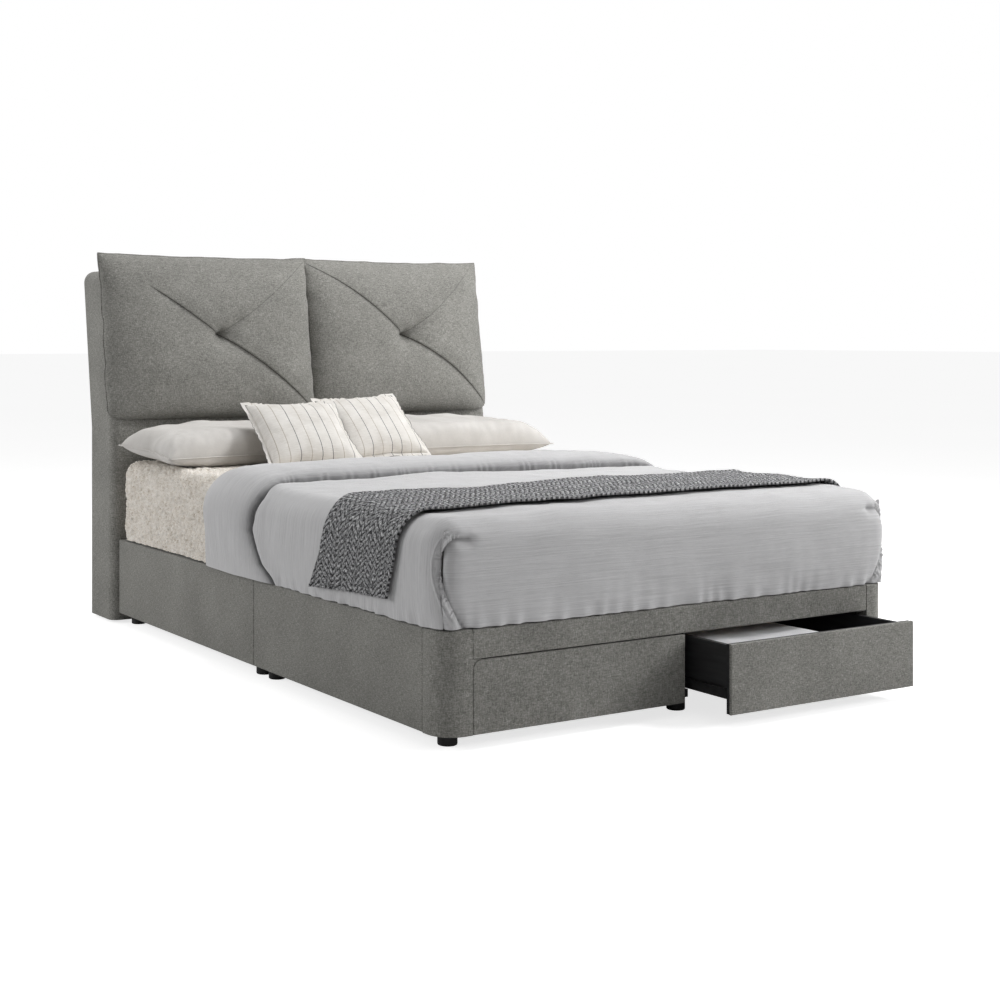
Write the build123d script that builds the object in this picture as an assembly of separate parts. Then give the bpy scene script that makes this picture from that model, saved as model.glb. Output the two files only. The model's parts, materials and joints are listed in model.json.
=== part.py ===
"""Queen platform bed: two bolted base boxes, two drawers on roller runners, cushioned headboard.

Millimetres. +Z is up, the head of the bed is towards +Y and the foot towards -Y.
The origin is on the floor, under the middle of the base in plan.
One STEP file is written for each separate piece.
"""
from build123d import *
import os

# ---- Base box ----------------------------------------------------------------
base_width = 1600.0
base_length = 2150.0
foot_height = 36.0
rail_top = 304.0
panel_thickness = 34.0
corner_width = 92.0
corner_radius = 70.0
front_box_length = 1053.0
board = 18.0
pad_edge = 5.0
seat_gap = 0.3

half = base_width / 2
foot_face = -base_length / 2
head_face = base_length / 2
seam = foot_face + front_box_length
panel_inside = half - panel_thickness

# ---- Drawers -----------------------------------------------------------------
drawer_top = 225.0
front_gap = 2.0
front_board = 12.0
front_pad = 8.0
front_thickness = front_board + front_pad
rounded_corner = 25.0
square_corner = 4.0
box_bottom = 72.0
box_top = 216.0
box_wall = 15.0
box_base = 9.0
box_length = 640.0
side_clearance = 12.7
right_opening = 176.0
bay_wall = half - corner_width

# ---- Roller runners ----------------------------------------------------------
steel = 1.2
runner_length = 600.0
runner_setback = 8.0
track_bottom = 60.0
track_height = 23.5
track_lip = 9.0
carrier_top = 100.0
roller_radius = 10.0
roller_width = 6.0
roller_pin = 2.0
roller_bore = 2.05
roller_clearance = 0.05

# ---- Mattress deck -----------------------------------------------------------
deck_top = 262.0
slat_thickness = 16.0
slat_width = 70.0
slats_per_box = 8
ledger_width = 26.0
ledger_height = 34.0

# ---- Feet --------------------------------------------------------------------
foot_radius = 26.0
block_height = 22.0
block_size = 48.0
seam_foot_offset = 42.0
centre_foot_x = 33.0
bed_bolt_radius = 4.0

# ---- Headboard ---------------------------------------------------------------
headboard_half = half + 28.0
headboard_bottom = 10.0
headboard_top = 1290.0
headboard_thickness = 199.0
kink_height = 705.0
rake_forward = 88.0
cover_thickness = 24.0
headboard_edge = 34.0
headboard_corner = 46.0
rib_thickness = 22.0
skin_board = 9.0

# ---- Headboard cushions ------------------------------------------------------
cushion_gap = 6.0
cushion_bottom = 745.0
cushion_height = 603.0
cushion_thickness = 120.0
button_radius = 13.0

# ---- Bedding -----------------------------------------------------------------
mattress_half = 762.0
mattress_length = 2032.0
mattress_height = 300.0
mattress_radius = 60.0
protector = 16.0
duvet_side = 30.0
duvet_top = 21.0
duvet_length = 1385.0
fold_length = 330.0
fold_height = 28.0
throw_thickness = 12.0

os.makedirs("parts", exist_ok=True)


def save(shape, name):
    """Write one piece to its own file."""
    export_step(shape, f"parts/{name}.step")


def block(x0, x1, y0, y1, z0, z1):
    """A plain box between two corners."""
    size = Box(x1 - x0, y1 - y0, z1 - z0)
    return Pos((x0 + x1) / 2, (y0 + y1) / 2, (z0 + z1) / 2) * size


def padded(x0, x1, y0, y1, z0, z1, radius=pad_edge):
    """A box whose edges are all rounded, as fabric is when it wraps a board."""
    shape = block(x0, x1, y0, y1, z0, z1)
    return fillet(shape.edges(), radius)


def rod(radius, length, axis):
    """A round bar centred on the origin along X or Y."""
    turn = Rot(0, 90, 0) if axis == "x" else Rot(90, 0, 0)
    return turn * Cylinder(radius, length)


def mirrored(shape):
    """The same piece on the other side of the bed."""
    return mirror(shape, about=Plane.YZ)


# ---- Side panels, corner panels and foot rail ---------------------------------
def side_panel(y0, y1):
    """Padded board along one side, on the left."""
    return padded(-half, -panel_inside, y0, y1, foot_height, rail_top)


def corner_panel():
    """Bent padded panel round the left foot corner, with one quarter-round outside."""
    outer = block(-half, -bay_wall, foot_face, foot_face + corner_width, foot_height, rail_top)
    vertical = outer.edges().filter_by(Axis.Z)
    outer = fillet(vertical.sort_by(Axis.X)[:2].sort_by(Axis.Y)[0], corner_radius)
    inner_y = foot_face + panel_thickness
    beyond = foot_face + corner_width + 1
    inner = block(-panel_inside, -bay_wall + 1, inner_y, beyond, foot_height - 1, rail_top + 1)
    upright = inner.edges().filter_by(Axis.Z)
    inner_radius = corner_radius - panel_thickness
    inner = fillet(upright.sort_by(Axis.X)[:2].sort_by(Axis.Y)[0], inner_radius)
    shell = outer - inner
    rims = shell.edges().filter_by(lambda e: abs(e.center().Z - rail_top) < 0.01)
    outside = [e for e in rims if e.center().X < -half + corner_radius / 2 or
               e.center().Y < foot_face + corner_radius / 2]
    return fillet(outside, pad_edge)


for side, place in (("left", lambda s: s), ("right", mirrored)):
    save(place(side_panel(foot_face + corner_width, seam)), f"side_panel_front_{side}")
    save(place(side_panel(seam, head_face)), f"side_panel_rear_{side}")
    save(place(corner_panel()), f"corner_panel_{side}")

rail_bottom = drawer_top + 3
rail_back = foot_face + panel_thickness
foot_rail = padded(-bay_wall, bay_wall, foot_face, rail_back, rail_bottom, rail_top)

# A small web fills the corner beside the left drawer front's rounded corner.
web_radius = rounded_corner + 2
web_edge = bay_wall - front_gap - rounded_corner
web_height = drawer_top - rounded_corner
web = block(-bay_wall, -web_edge, foot_face + 1, foot_face + front_thickness, web_height, rail_bottom)
bore = Pos(-web_edge, foot_face, web_height) * Rot(90, 0, 0) * Cylinder(web_radius, 100)
foot_rail += web - bore
save(foot_rail, "foot_rail")

# ---- Boards inside the two boxes ----------------------------------------------
divider_front = foot_face + front_thickness + 1
cross_top = deck_top - slat_thickness
front_back = block(-panel_inside, panel_inside, seam - board, seam, foot_height, cross_top)
rear_front = block(-panel_inside, panel_inside, seam, seam + board, foot_height, cross_top)
rear_back = block(-panel_inside, panel_inside, head_face - board, head_face, foot_height, cross_top)
divider = block(-board / 2, board / 2, divider_front, seam - board, foot_height, cross_top)
rail_slot = block(-board, board, foot_face, rail_back, rail_bottom, rail_top)
divider = divider - rail_slot
beam = block(-board / 2, board / 2, seam + board, head_face - board, foot_height, cross_top)
bay_panel_back = foot_face + box_length + 60
bay_panel = block(-bay_wall - board, -bay_wall, foot_face + corner_width, bay_panel_back,
                  foot_height, cross_top)

bolt_x = 600.0
bolt_heights = (100.0, 190.0)
bolt_spots = [(x, z) for x in (-bolt_x, bolt_x) for z in bolt_heights]


def bolt_holes(y, length):
    """Holes along Y for the four bolts that join two panels."""
    return [Pos(x, y, z) * rod(bed_bolt_radius, length, "y") for x, z in bolt_spots]


for hole in bolt_holes(seam, 4 * board):
    front_back -= hole
    rear_front -= hole
for hole in bolt_holes(head_face, 4 * board):
    rear_back -= hole

save(front_back, "front_box_back_board")
save(rear_front, "rear_box_front_board")
save(rear_back, "rear_box_back_board")
save(divider, "drawer_divider")
save(beam, "centre_beam")
save(bay_panel, "bay_panel_left")
save(mirrored(bay_panel), "bay_panel_right")


# ---- Bolts that join the boxes and hold the headboard --------------------------
head_height = 5.0
nut_height = 6.0
hex_radius = 7.5
thread_past_nut = 4.0
headboard_hold = cover_thickness + skin_board + 2 * seat_gap


def hexagon(y_front, thickness):
    """A hexagonal prism along Y that starts at y_front."""
    prism = extrude(Plane.XZ * RegularPolygon(hex_radius, 6), thickness / 2, both=True)
    return Pos(0, y_front + thickness / 2, 0) * prism


def bed_bolt(y_head, grip):
    """Hex bolt towards the head, its head in front of y_head, long enough for a nut past grip."""
    length = grip + nut_height + thread_past_nut
    shank = Pos(0, y_head + length / 2, 0) * rod(bed_bolt_radius - 0.2, length, "y")
    return hexagon(y_head - head_height, head_height) + shank


def bed_nut(y):
    """Hex nut behind the clamped boards."""
    return hexagon(y, nut_height) - Pos(0, y, 0) * rod(bed_bolt_radius, 4 * nut_height, "y")


def at_bolts(shape):
    """The same fastener at each of the four bolt holes."""
    return [Pos(x, 0, z) * shape for x, z in bolt_spots]


nut_places = (seam + board, head_face + headboard_hold)
save(Compound(children=at_bolts(bed_bolt(seam - board, 2 * board))), "box_joining_bolts")
save(Compound(children=at_bolts(bed_bolt(head_face - board, board + headboard_hold))),
     "headboard_bolts")
save(Compound(children=[n for y in nut_places for n in at_bolts(bed_nut(y))]), "bolt_nuts")

# ---- Slat ledgers and slats ----------------------------------------------------
ledger_top = deck_top - slat_thickness
ledger_bottom = ledger_top - ledger_height


def ledger(y0, y1):
    """Strip that carries the slat ends, along the left side."""
    return block(-panel_inside, -panel_inside + ledger_width, y0, y1, ledger_bottom, ledger_top)


ledger_front = ledger(foot_face + corner_width + 4, seam - board)
ledger_rear = ledger(seam + board, head_face - board)
bay_clear = block(-bay_wall - board, -bay_wall, foot_face, bay_panel_back, 0, rail_top)
ledger_front = ledger_front - bay_clear
ledgers = [ledger_front, ledger_rear, mirrored(ledger_front), mirrored(ledger_rear)]
save(Compound(children=ledgers), "slat_ledgers")


def slats(y0, y1):
    """Evenly spaced cross slats that lie on the ledgers between y0 and y1."""
    pitch = (y1 - y0 - slat_width) / (slats_per_box - 1)
    starts = [y0 + i * pitch for i in range(slats_per_box)]
    reach = panel_inside - 2
    return [block(-reach, reach, y, y + slat_width, ledger_top, deck_top) for y in starts]


save(Compound(children=slats(foot_face + corner_width + 8, seam - 6)), "slats_front_box")
save(Compound(children=slats(seam + 6, head_face - 6)), "slats_rear_box")

# ---- Feet and the blocks they screw into ---------------------------------------
# One foot of the rear box stands right under its centre beam and screws into the beam.
beam_foot = (0, seam + seam_foot_offset)
foot_rows = [
    (foot_face + 80, 732, centre_foot_x),
    (seam - seam_foot_offset, 740, centre_foot_x),
    (beam_foot[1], 740, beam_foot[0]),
    (head_face - 44, 740, centre_foot_x),
]
foot_places = [(x, y) for y, outer_x, inner_x in foot_rows for x in (-outer_x, inner_x, outer_x)]


def foot():
    """Turned plastic foot with a rounded tread."""
    body = Pos(0, 0, foot_height / 2) * Cylinder(foot_radius, foot_height)
    return fillet(body.edges().sort_by(Axis.Z)[0], 4)


def foot_block(x, y):
    """Wood block that takes one foot's screw, cut to fit round the boards beside it."""
    wood = block(x - block_size / 2, x + block_size / 2, y - block_size / 2, y + block_size / 2,
                 foot_height, foot_height + block_height)
    boards = (front_back, rear_front, rear_back, divider, beam, bay_panel, mirrored(bay_panel))
    for beside in boards:
        wood -= beside
    return wood


save(Compound(children=[Pos(x, y, 0) * foot() for x, y in foot_places]), "feet")
block_places = [place for place in foot_places if place != beam_foot]
save(Compound(children=[foot_block(x, y) for x, y in block_places]), "foot_blocks")


# ---- Drawers -------------------------------------------------------------------
def on_side(sign, x0, x1):
    """Order two distances from the middle of the bed as left-hand or right-hand X values."""
    return (x0, x1) if sign > 0 else (-x1, -x0)


def drawer_front(sign, corner, dy):
    """The board and the padded cover of one drawer front, outer upper corner rounded."""
    x0, x1 = on_side(sign, front_gap, bay_wall - front_gap)
    pad_back = foot_face + front_pad + dy
    cover = block(x0, x1, foot_face + dy, pad_back, foot_height, drawer_top)
    backer = block(x0 + 1, x1 - 1, pad_back, pad_back + front_board, foot_height + 1, drawer_top - 1)
    shapes = []
    for shape, radius in ((cover, corner), (backer, corner - 1)):
        uprights = shape.edges().filter_by(Axis.Y).sort_by(Axis.Z)[-2:].sort_by(Axis.X)
        outer_corner = uprights[-1] if sign > 0 else uprights[0]
        shapes.append(fillet(outer_corner, radius))
    cover, backer = shapes
    face_edges = [e for e in cover.edges() if e.bounding_box().max.Y < foot_face + dy + 0.01]
    cover = fillet(face_edges, 3.5)
    return cover, backer


def drawer_box(sign, dy):
    """Two sides, back and bottom of one drawer box, in body coordinates."""
    inner_side = board / 2 + side_clearance
    outer_side = bay_wall - side_clearance
    y0 = foot_face + front_thickness + dy
    y1 = y0 + box_length
    near = on_side(sign, inner_side, inner_side + box_wall)
    far = on_side(sign, outer_side - box_wall, outer_side)
    between = on_side(sign, inner_side + box_wall, outer_side - box_wall)
    return {
        "inner_side": block(*near, y0, y1, box_bottom, box_top),
        "outer_side": block(*far, y0, y1, box_bottom, box_top),
        "back": block(*between, y1 - box_wall, y1, box_bottom + box_base, box_top),
        "bottom": block(*between, y0, y1, box_bottom, box_bottom + box_base),
    }


def cabinet_runner(wall_x, towards):
    """Fixed track on a bay wall, open towards the drawer, with a pin for its front roller."""
    y0 = foot_face + front_thickness + runner_setback
    y1 = y0 + runner_length
    return_y = y0 + 50

    def plate(depth0, depth1, ya, yb, z0, z1):
        xs = sorted((wall_x + towards * depth0, wall_x + towards * depth1))
        return block(*xs, ya, yb, z0, z1)

    top = track_bottom + track_height
    track = plate(0, steel, y0, y1, track_bottom, carrier_top - 3)
    track += plate(0, track_lip, y0, y1, track_bottom, track_bottom + steel)
    track += plate(0, track_lip, return_y, y1, top - steel, top)
    pin_z = carrier_top - steel - roller_clearance - roller_radius
    pin = rod(roller_pin, track_lip, "x")
    track += Pos(wall_x + towards * track_lip / 2, y0 + roller_radius + 3, pin_z) * pin
    return track


def drawer_runner(side_x, towards, dy):
    """Carrier on a drawer side: lip under the board, flange over the rollers, rear pin."""
    y0 = foot_face + front_thickness + runner_setback + 12 + dy
    y1 = y0 + runner_length - 12

    def plate(depth0, depth1, ya, yb, z0, z1):
        xs = sorted((side_x + towards * depth0, side_x + towards * depth1))
        return block(*xs, ya, yb, z0, z1)

    carrier = plate(0, steel, y0, y1, box_bottom - steel, carrier_top)
    carrier += plate(-12, 0, y0, y1, box_bottom - steel, box_bottom)
    carrier += plate(0, track_lip, y0, y1, carrier_top - steel, carrier_top)
    pin_z = track_bottom + steel + roller_clearance + roller_radius
    carrier += plate(0, steel, y1 - 30, y1, pin_z - 6, box_bottom)
    pin = rod(roller_pin, track_lip, "x")
    carrier += Pos(side_x + towards * track_lip / 2, y1 - roller_radius - 4, pin_z) * pin
    return carrier


def roller(x, y, z):
    """Plain nylon roller on a pin along X."""
    wheel = rod(roller_radius, roller_width, "x") - rod(roller_bore, roller_width + 2, "x")
    return Pos(x, y, z) * wheel


def roller_pair(sign, kind, dy):
    """The two rollers that turn together at one end of a drawer's runners."""
    if kind == "front":
        walls = (board / 2, bay_wall)
        y = foot_face + front_thickness + runner_setback + roller_radius + 3
        z = carrier_top - steel - roller_clearance - roller_radius
    else:
        walls = (board / 2 + side_clearance, bay_wall - side_clearance)
        y = foot_face + front_thickness + runner_setback + runner_length - roller_radius - 4 + dy
        z = track_bottom + steel + roller_clearance + roller_radius
    offset = steel + 0.4 + roller_width / 2
    inward = offset if kind == "front" else -offset
    xs = (walls[0] + inward, walls[1] - inward)
    return Compound(children=[roller(sign * x, y, z) for x in xs])


for side, sign, corner, dy in (
    ("left", -1, rounded_corner, 0.0),
    ("right", 1, square_corner, -right_opening),
):
    cover, backer = drawer_front(sign, corner, dy)
    save(cover, f"drawer_front_cover_{side}")
    save(backer, f"drawer_front_board_{side}")
    for piece, shape in drawer_box(sign, dy).items():
        save(shape, f"drawer_{piece}_{side}")
    fixed = [
        cabinet_runner(sign * board / 2, sign),
        cabinet_runner(sign * bay_wall, -sign),
    ]
    moving = [
        drawer_runner(sign * (board / 2 + side_clearance), -sign, dy),
        drawer_runner(sign * (bay_wall - side_clearance), sign, dy),
    ]
    save(Compound(children=fixed), f"cabinet_runners_{side}")
    save(Compound(children=moving), f"drawer_runners_{side}")
    save(roller_pair(sign, "front", dy), f"front_rollers_{side}")
    save(roller_pair(sign, "rear", dy), f"rear_rollers_{side}")


# ---- Headboard -----------------------------------------------------------------
def headboard_outline(inset):
    """Side profile of the headboard, upright below and raked back above the kink."""
    front = head_face + inset
    back = head_face + headboard_thickness - inset
    low = headboard_bottom + inset
    high = headboard_top - inset
    lean = rake_forward * (high - kink_height) / (headboard_top - kink_height)
    corners = [
        (front, low),
        (front, kink_height),
        (front + lean, high),
        (back + lean, high),
        (back, kink_height),
        (back, low),
    ]
    return Plane.YZ * Polyline(*corners, close=True)


def headboard_slab(inset, x_half):
    """The raked slab between -x_half and +x_half, set in by inset all round."""
    face = make_face(headboard_outline(inset))
    return Pos(-x_half, 0, 0) * extrude(face, 2 * x_half, dir=(1, 0, 0))


def round_headboard(slab):
    """Soften the padded slab: first its top corners, then the rim of its front face."""
    corners = [e for e in slab.edges().filter_by(Axis.Y)
               if e.center().Z > headboard_top - 1]
    slab = fillet(corners, headboard_corner)
    front = [e for e in slab.edges() if on_front(e) and e.center().Z > headboard_bottom + 1]
    return fillet(front, headboard_edge)


def on_front(edge):
    """True for an edge that lies in the front face of the headboard."""
    points = [edge.position_at(t) for t in (0.0, 0.5, 1.0)]
    slope = rake_forward / (headboard_top - kink_height)
    return all(abs(p.Y - head_face - slope * max(0, p.Z - kink_height)) < 0.01 and
               abs(p.X) > 1e-6 or abs(p.Z - headboard_top) < 0.01 and
               abs(p.Y - head_face - rake_forward) < 0.01 for p in points) and not (
        abs(edge.center().X) < 0.01 and abs(edge.center().Z - kink_height) < 0.01)


bolt_way = bolt_holes(head_face, 2 * headboard_hold + 20)
outer_slab = round_headboard(headboard_slab(0, headboard_half))
inner_slab = headboard_slab(cover_thickness, headboard_half - cover_thickness)
headboard_cover = outer_slab - inner_slab
for hole in bolt_way:
    headboard_cover -= hole
save(headboard_cover, "headboard_cover")

rib_half = headboard_half - cover_thickness
rib_profile = headboard_slab(cover_thickness + skin_board + seat_gap, rib_thickness / 2)
rib_count = 5
rib_reach = rib_half - rib_thickness / 2 - seat_gap
rib_places = [-rib_reach + i * 2 * rib_reach / (rib_count - 1) for i in range(rib_count)]
save(Compound(children=[Pos(x, 0, 0) * rib_profile for x in rib_places]), "headboard_ribs")

skin_outer = headboard_slab(cover_thickness + seat_gap, rib_half - seat_gap)
skin_inner = headboard_slab(cover_thickness + seat_gap + skin_board, rib_half)
skin = skin_outer - skin_inner
for hole in bolt_way:
    skin -= hole
save(skin, "headboard_skin_board")


# ---- Headboard cushions ---------------------------------------------------------
rake_angle = Vector(0, rake_forward, headboard_top - kink_height).get_angle(Vector(0, 0, 1))


def raked(shape):
    """Tilt a shape built on the XZ plane so that it lies on the raked headboard face."""
    lean = rake_forward * (cushion_bottom - kink_height) / (headboard_top - kink_height)
    return Pos(0, head_face + lean - seat_gap, cushion_bottom) * Rot(-rake_angle, 0, 0) * shape


cushion_half = headboard_half - 2
cushion_middle = (cushion_gap / 2 + cushion_half) / 2
back_thickness = 12.0
back_margin = 40.0
pocket_depth = 45.0
button_height = 8.0


def headboard_cushion():
    """Box cushion, its plywood back board and its covered button, on the left."""
    x0, x1 = -cushion_half, -cushion_gap / 2
    pad = padded(x0, x1, -cushion_thickness, 0, 0, cushion_height, 40)
    back = block(x0 + back_margin, x1 - back_margin, -back_thickness, 0,
                 back_margin, cushion_height - back_margin)
    centre = Pos(-cushion_middle, -cushion_thickness + pocket_depth / 2, cushion_height / 2)
    pocket = centre * rod(button_radius + 2, pocket_depth, "y")
    button = Pos(-cushion_middle, -cushion_thickness + pocket_depth - button_height / 2,
                 cushion_height / 2) * rod(button_radius, button_height, "y")
    button = fillet(button.edges().sort_by(Axis.Y)[0], 2.5)
    return raked(pad - back - pocket), raked(back), raked(button)


pieces = headboard_cushion()
for name, shape in zip(("headboard_cushion", "cushion_back_board", "cushion_button"), pieces):
    save(shape, f"{name}_left")
    save(mirrored(shape), f"{name}_right")

# ---- Mattress and bedding --------------------------------------------------------
mattress_foot = foot_face + 40
mattress_head = mattress_foot + mattress_length
mattress_top = deck_top + mattress_height
cover_bottom = rail_top + 2


def bedding_shell(grow, bottom, top_radius, y_head):
    """A block that follows the mattress, grow mm larger at its sides and on top."""
    x = mattress_half + grow
    shape = block(-x, x, mattress_foot - grow, y_head, bottom, mattress_top + grow)
    uprights = shape.edges().filter_by(Axis.Z)
    shape = fillet(uprights, mattress_radius + grow)
    upper = [e for e in shape.edges() if abs(e.center().Z - mattress_top - grow) < 0.01]
    return fillet(upper, top_radius)


mattress = bedding_shell(0, deck_top, 24, mattress_head)
save(mattress, "mattress")
protector_hollow = bedding_shell(seat_gap, 0, 24, mattress_head + seat_gap)
protector_shape = bedding_shell(protector, cover_bottom, 32, mattress_head + protector)
save(protector_shape - protector_hollow, "mattress_protector")

duvet_head = foot_face + duvet_length
duvet_grow = protector + seat_gap
duvet_x = mattress_half + duvet_grow + duvet_side
duvet_z = mattress_top + duvet_grow + duvet_top
duvet = block(-duvet_x, duvet_x, foot_face + 3, duvet_head, cover_bottom + 2, duvet_z)
duvet = fillet(duvet.edges().filter_by(Axis.Z).sort_by(Axis.Y)[:2], 90)
duvet_rim = [e for e in duvet.edges() if abs(e.center().Z - duvet_z) < 0.01
             and e.center().Y < duvet_head - 1]
duvet = fillet(duvet_rim, 48)
duvet = duvet - bedding_shell(duvet_grow, 0, 32, duvet_head + 200)
fold = block(-duvet_x + 40, duvet_x - 40, duvet_head - fold_length, duvet_head,
             duvet_z - 1, duvet_z + fold_height)
fold = fillet(fold.edges().group_by(Axis.Z)[-1], 12)
save(duvet + fold, "duvet")

throw_foot = foot_face + 225
throw_head = foot_face + 640
throw_bottom = 350.0
throw_x = duvet_x + seat_gap
throw_z = duvet_z + seat_gap
throw = block(-throw_x - throw_thickness, throw_x + throw_thickness, throw_foot, throw_head,
              throw_bottom, throw_z + throw_thickness)
throw = fillet(throw.edges().filter_by(Axis.Y).group_by(Axis.Z)[-1], 48 + throw_thickness)
under_throw = block(-throw_x, throw_x, throw_foot - 1, throw_head + 1, 0, throw_z)
under_throw = fillet(under_throw.edges().filter_by(Axis.Y).group_by(Axis.Z)[-1], 48)
save(throw - under_throw, "throw_blanket")

bed_surface = mattress_top + protector + seat_gap
pillow_height = 168.0
pillow = padded(-790, -30, foot_face + 1735, foot_face + 2095,
                bed_surface, bed_surface + pillow_height, 76)
save(pillow, "pillow_left")
save(mirrored(pillow), "pillow_right")

scatter_height = 334.0
scatter_depth = 80.0
scatter_lean = 51.9


def scatter_cushion(x0, x1, dy, dz):
    """Small cushion that leans back on the pillows."""
    soft = padded(x0, x1, -scatter_depth / 2, scatter_depth / 2,
                  -scatter_height / 2, scatter_height / 2, 38)
    middle = Pos(0, foot_face + 1602 + dy, bed_surface + 125 + dz)
    return middle * Rot(-scatter_lean, 0, 0) * soft


save(scatter_cushion(-500, -135, 0, 0), "striped_cushion_left")
save(scatter_cushion(-128, 190, 55, 12), "striped_cushion_right")

drawer_floor = box_bottom + box_base + seat_gap
stored_front = foot_face + front_thickness - right_opening + 6
stored = padded(44, 500, stored_front, stored_front + 500, drawer_floor, 210, 50)
save(stored, "stored_pillow")
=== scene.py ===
import json
import math

import bmesh
import bpy
import numpy as np
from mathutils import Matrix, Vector, noise
from mathutils.bvhtree import BVHTree


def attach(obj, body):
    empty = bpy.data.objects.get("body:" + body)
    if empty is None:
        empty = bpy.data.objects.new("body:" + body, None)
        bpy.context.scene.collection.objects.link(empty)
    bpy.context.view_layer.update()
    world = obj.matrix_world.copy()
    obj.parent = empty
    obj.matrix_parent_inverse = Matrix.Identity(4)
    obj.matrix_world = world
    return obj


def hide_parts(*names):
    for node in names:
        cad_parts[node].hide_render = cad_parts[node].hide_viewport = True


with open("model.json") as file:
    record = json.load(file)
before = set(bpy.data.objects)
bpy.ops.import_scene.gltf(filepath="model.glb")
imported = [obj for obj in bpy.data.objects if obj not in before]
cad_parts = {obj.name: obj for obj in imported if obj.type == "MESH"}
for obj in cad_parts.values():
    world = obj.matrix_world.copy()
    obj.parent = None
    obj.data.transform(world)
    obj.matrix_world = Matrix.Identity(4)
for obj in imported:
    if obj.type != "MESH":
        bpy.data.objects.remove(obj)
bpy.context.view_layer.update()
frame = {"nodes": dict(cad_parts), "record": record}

# Shared sizes, in metres, in the CAD frame: floor at z 0, foot of the bed at -Y.
FOOT = -1.075               # face of the foot rail
RAIL_TOP = 0.304            # upper edge of the base
TOP = 0.586                 # top of the mattress with its protector
FOLD_END = FOOT + 1.380     # head end of the duvet, where it is turned back


# ---- Mesh helpers ---------------------------------------------------------------
def link_mesh(name, verts, faces, uv=None):
    """Smooth-shaded object from points and faces, with one UV per point if given."""
    mesh = bpy.data.meshes.new(name)
    mesh.from_pydata([tuple(map(float, v)) for v in verts], [], faces)
    if uv is not None:
        layer = mesh.uv_layers.new(name="weave")
        index = np.empty(len(mesh.loops), dtype=np.int32)
        mesh.loops.foreach_get("vertex_index", index)
        layer.data.foreach_set("uv", np.asarray(uv, dtype=np.float32)[index].ravel())
    mesh.polygons.foreach_set("use_smooth", [True] * len(mesh.polygons))
    mesh.validate()
    obj = bpy.data.objects.new(name, mesh)
    bpy.context.scene.collection.objects.link(obj)
    return obj


def grid_faces(rows, cols, close_rows=False, close_cols=False, start=0):
    """Quads over a grid of points numbered row by row from start, closed round either way."""
    faces = []
    for i in range(rows if close_rows else rows - 1):
        for j in range(cols if close_cols else cols - 1):
            a, b = i * cols + j, i * cols + (j + 1) % cols
            c, d = ((i + 1) % rows) * cols + (j + 1) % cols, ((i + 1) % rows) * cols + j
            faces.append((a + start, b + start, c + start, d + start))
    return faces


def fbm(x, y, z, scale, octaves=3, seed=0):
    """Smooth noise from -1 to 1 at the arrays' points; scale is waves per metre."""
    out = np.empty(len(x))
    for i in range(len(x)):
        out[i] = noise.fractal(Vector((x[i] * scale + seed * 17.3, y[i] * scale - seed * 5.1, z[i] * scale)),
                               1.0, 2.0, octaves)
    return out


def smoothstep(a, b, x):
    """0 at a, 1 at b, and smooth in between; a may be the larger."""
    t = np.clip((x - a) / (b - a), 0, 1)
    return t * t * (3 - 2 * t)


def mesh_arrays(obj):
    """The mesh's points and normals as arrays."""
    n = len(obj.data.vertices)
    co = np.empty(n * 3)
    no = np.empty(n * 3)
    obj.data.vertices.foreach_get("co", co)
    obj.data.vertices.foreach_get("normal", no)
    return co.reshape(-1, 3), no.reshape(-1, 3)


def set_coords(obj, co):
    obj.data.vertices.foreach_set("co", np.asarray(co, dtype=np.float32).ravel())
    obj.data.update()


def merge(obj, distance=0.0004):
    """Join points that meet and turn all faces outwards."""
    bm = bmesh.new()
    bm.from_mesh(obj.data)
    bmesh.ops.remove_doubles(bm, verts=bm.verts, dist=distance)
    bmesh.ops.recalc_face_normals(bm, faces=bm.faces)
    bm.to_mesh(obj.data)
    bm.free()
    obj.data.polygons.foreach_set("use_smooth", [True] * len(obj.data.polygons))
    obj.data.update()


def bake(obj):
    """Keep what the object's modifiers make as its own smooth mesh."""
    graph = bpy.context.evaluated_depsgraph_get()
    mesh = bpy.data.meshes.new_from_object(obj.evaluated_get(graph))
    obj.modifiers.clear()
    old = obj.data
    obj.data = mesh
    bpy.data.meshes.remove(old)
    obj.data.polygons.foreach_set("use_smooth", [True] * len(obj.data.polygons))


def subdivide(obj):
    """Subdivide the surface once and keep the result as the mesh."""
    mod = obj.modifiers.new("smooth", "SUBSURF")
    mod.levels = mod.render_levels = 1
    bake(obj)


def tube(name, points, radius, sides=8, closed=False):
    """Round cord swept along points, used for piping and welts."""
    pts = [Vector(p) for p in points]
    n = len(pts)
    verts = []
    for i, p in enumerate(pts):
        before = pts[i - 1] if (i or closed) else p
        after = pts[(i + 1) % n] if (i < n - 1 or closed) else p
        along = (after - before).normalized()
        side = along.cross(Vector((0, 0, 1)))
        if side.length < 0.2:
            side = along.cross(Vector((0, 1, 0)))
        side.normalize()
        up = side.cross(along).normalized()
        for k in range(sides):
            a = 2 * math.pi * k / sides
            verts.append(p + radius * (math.cos(a) * side + math.sin(a) * up))
    return link_mesh(name, verts, grid_faces(n, sides, close_rows=closed, close_cols=True))


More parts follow.
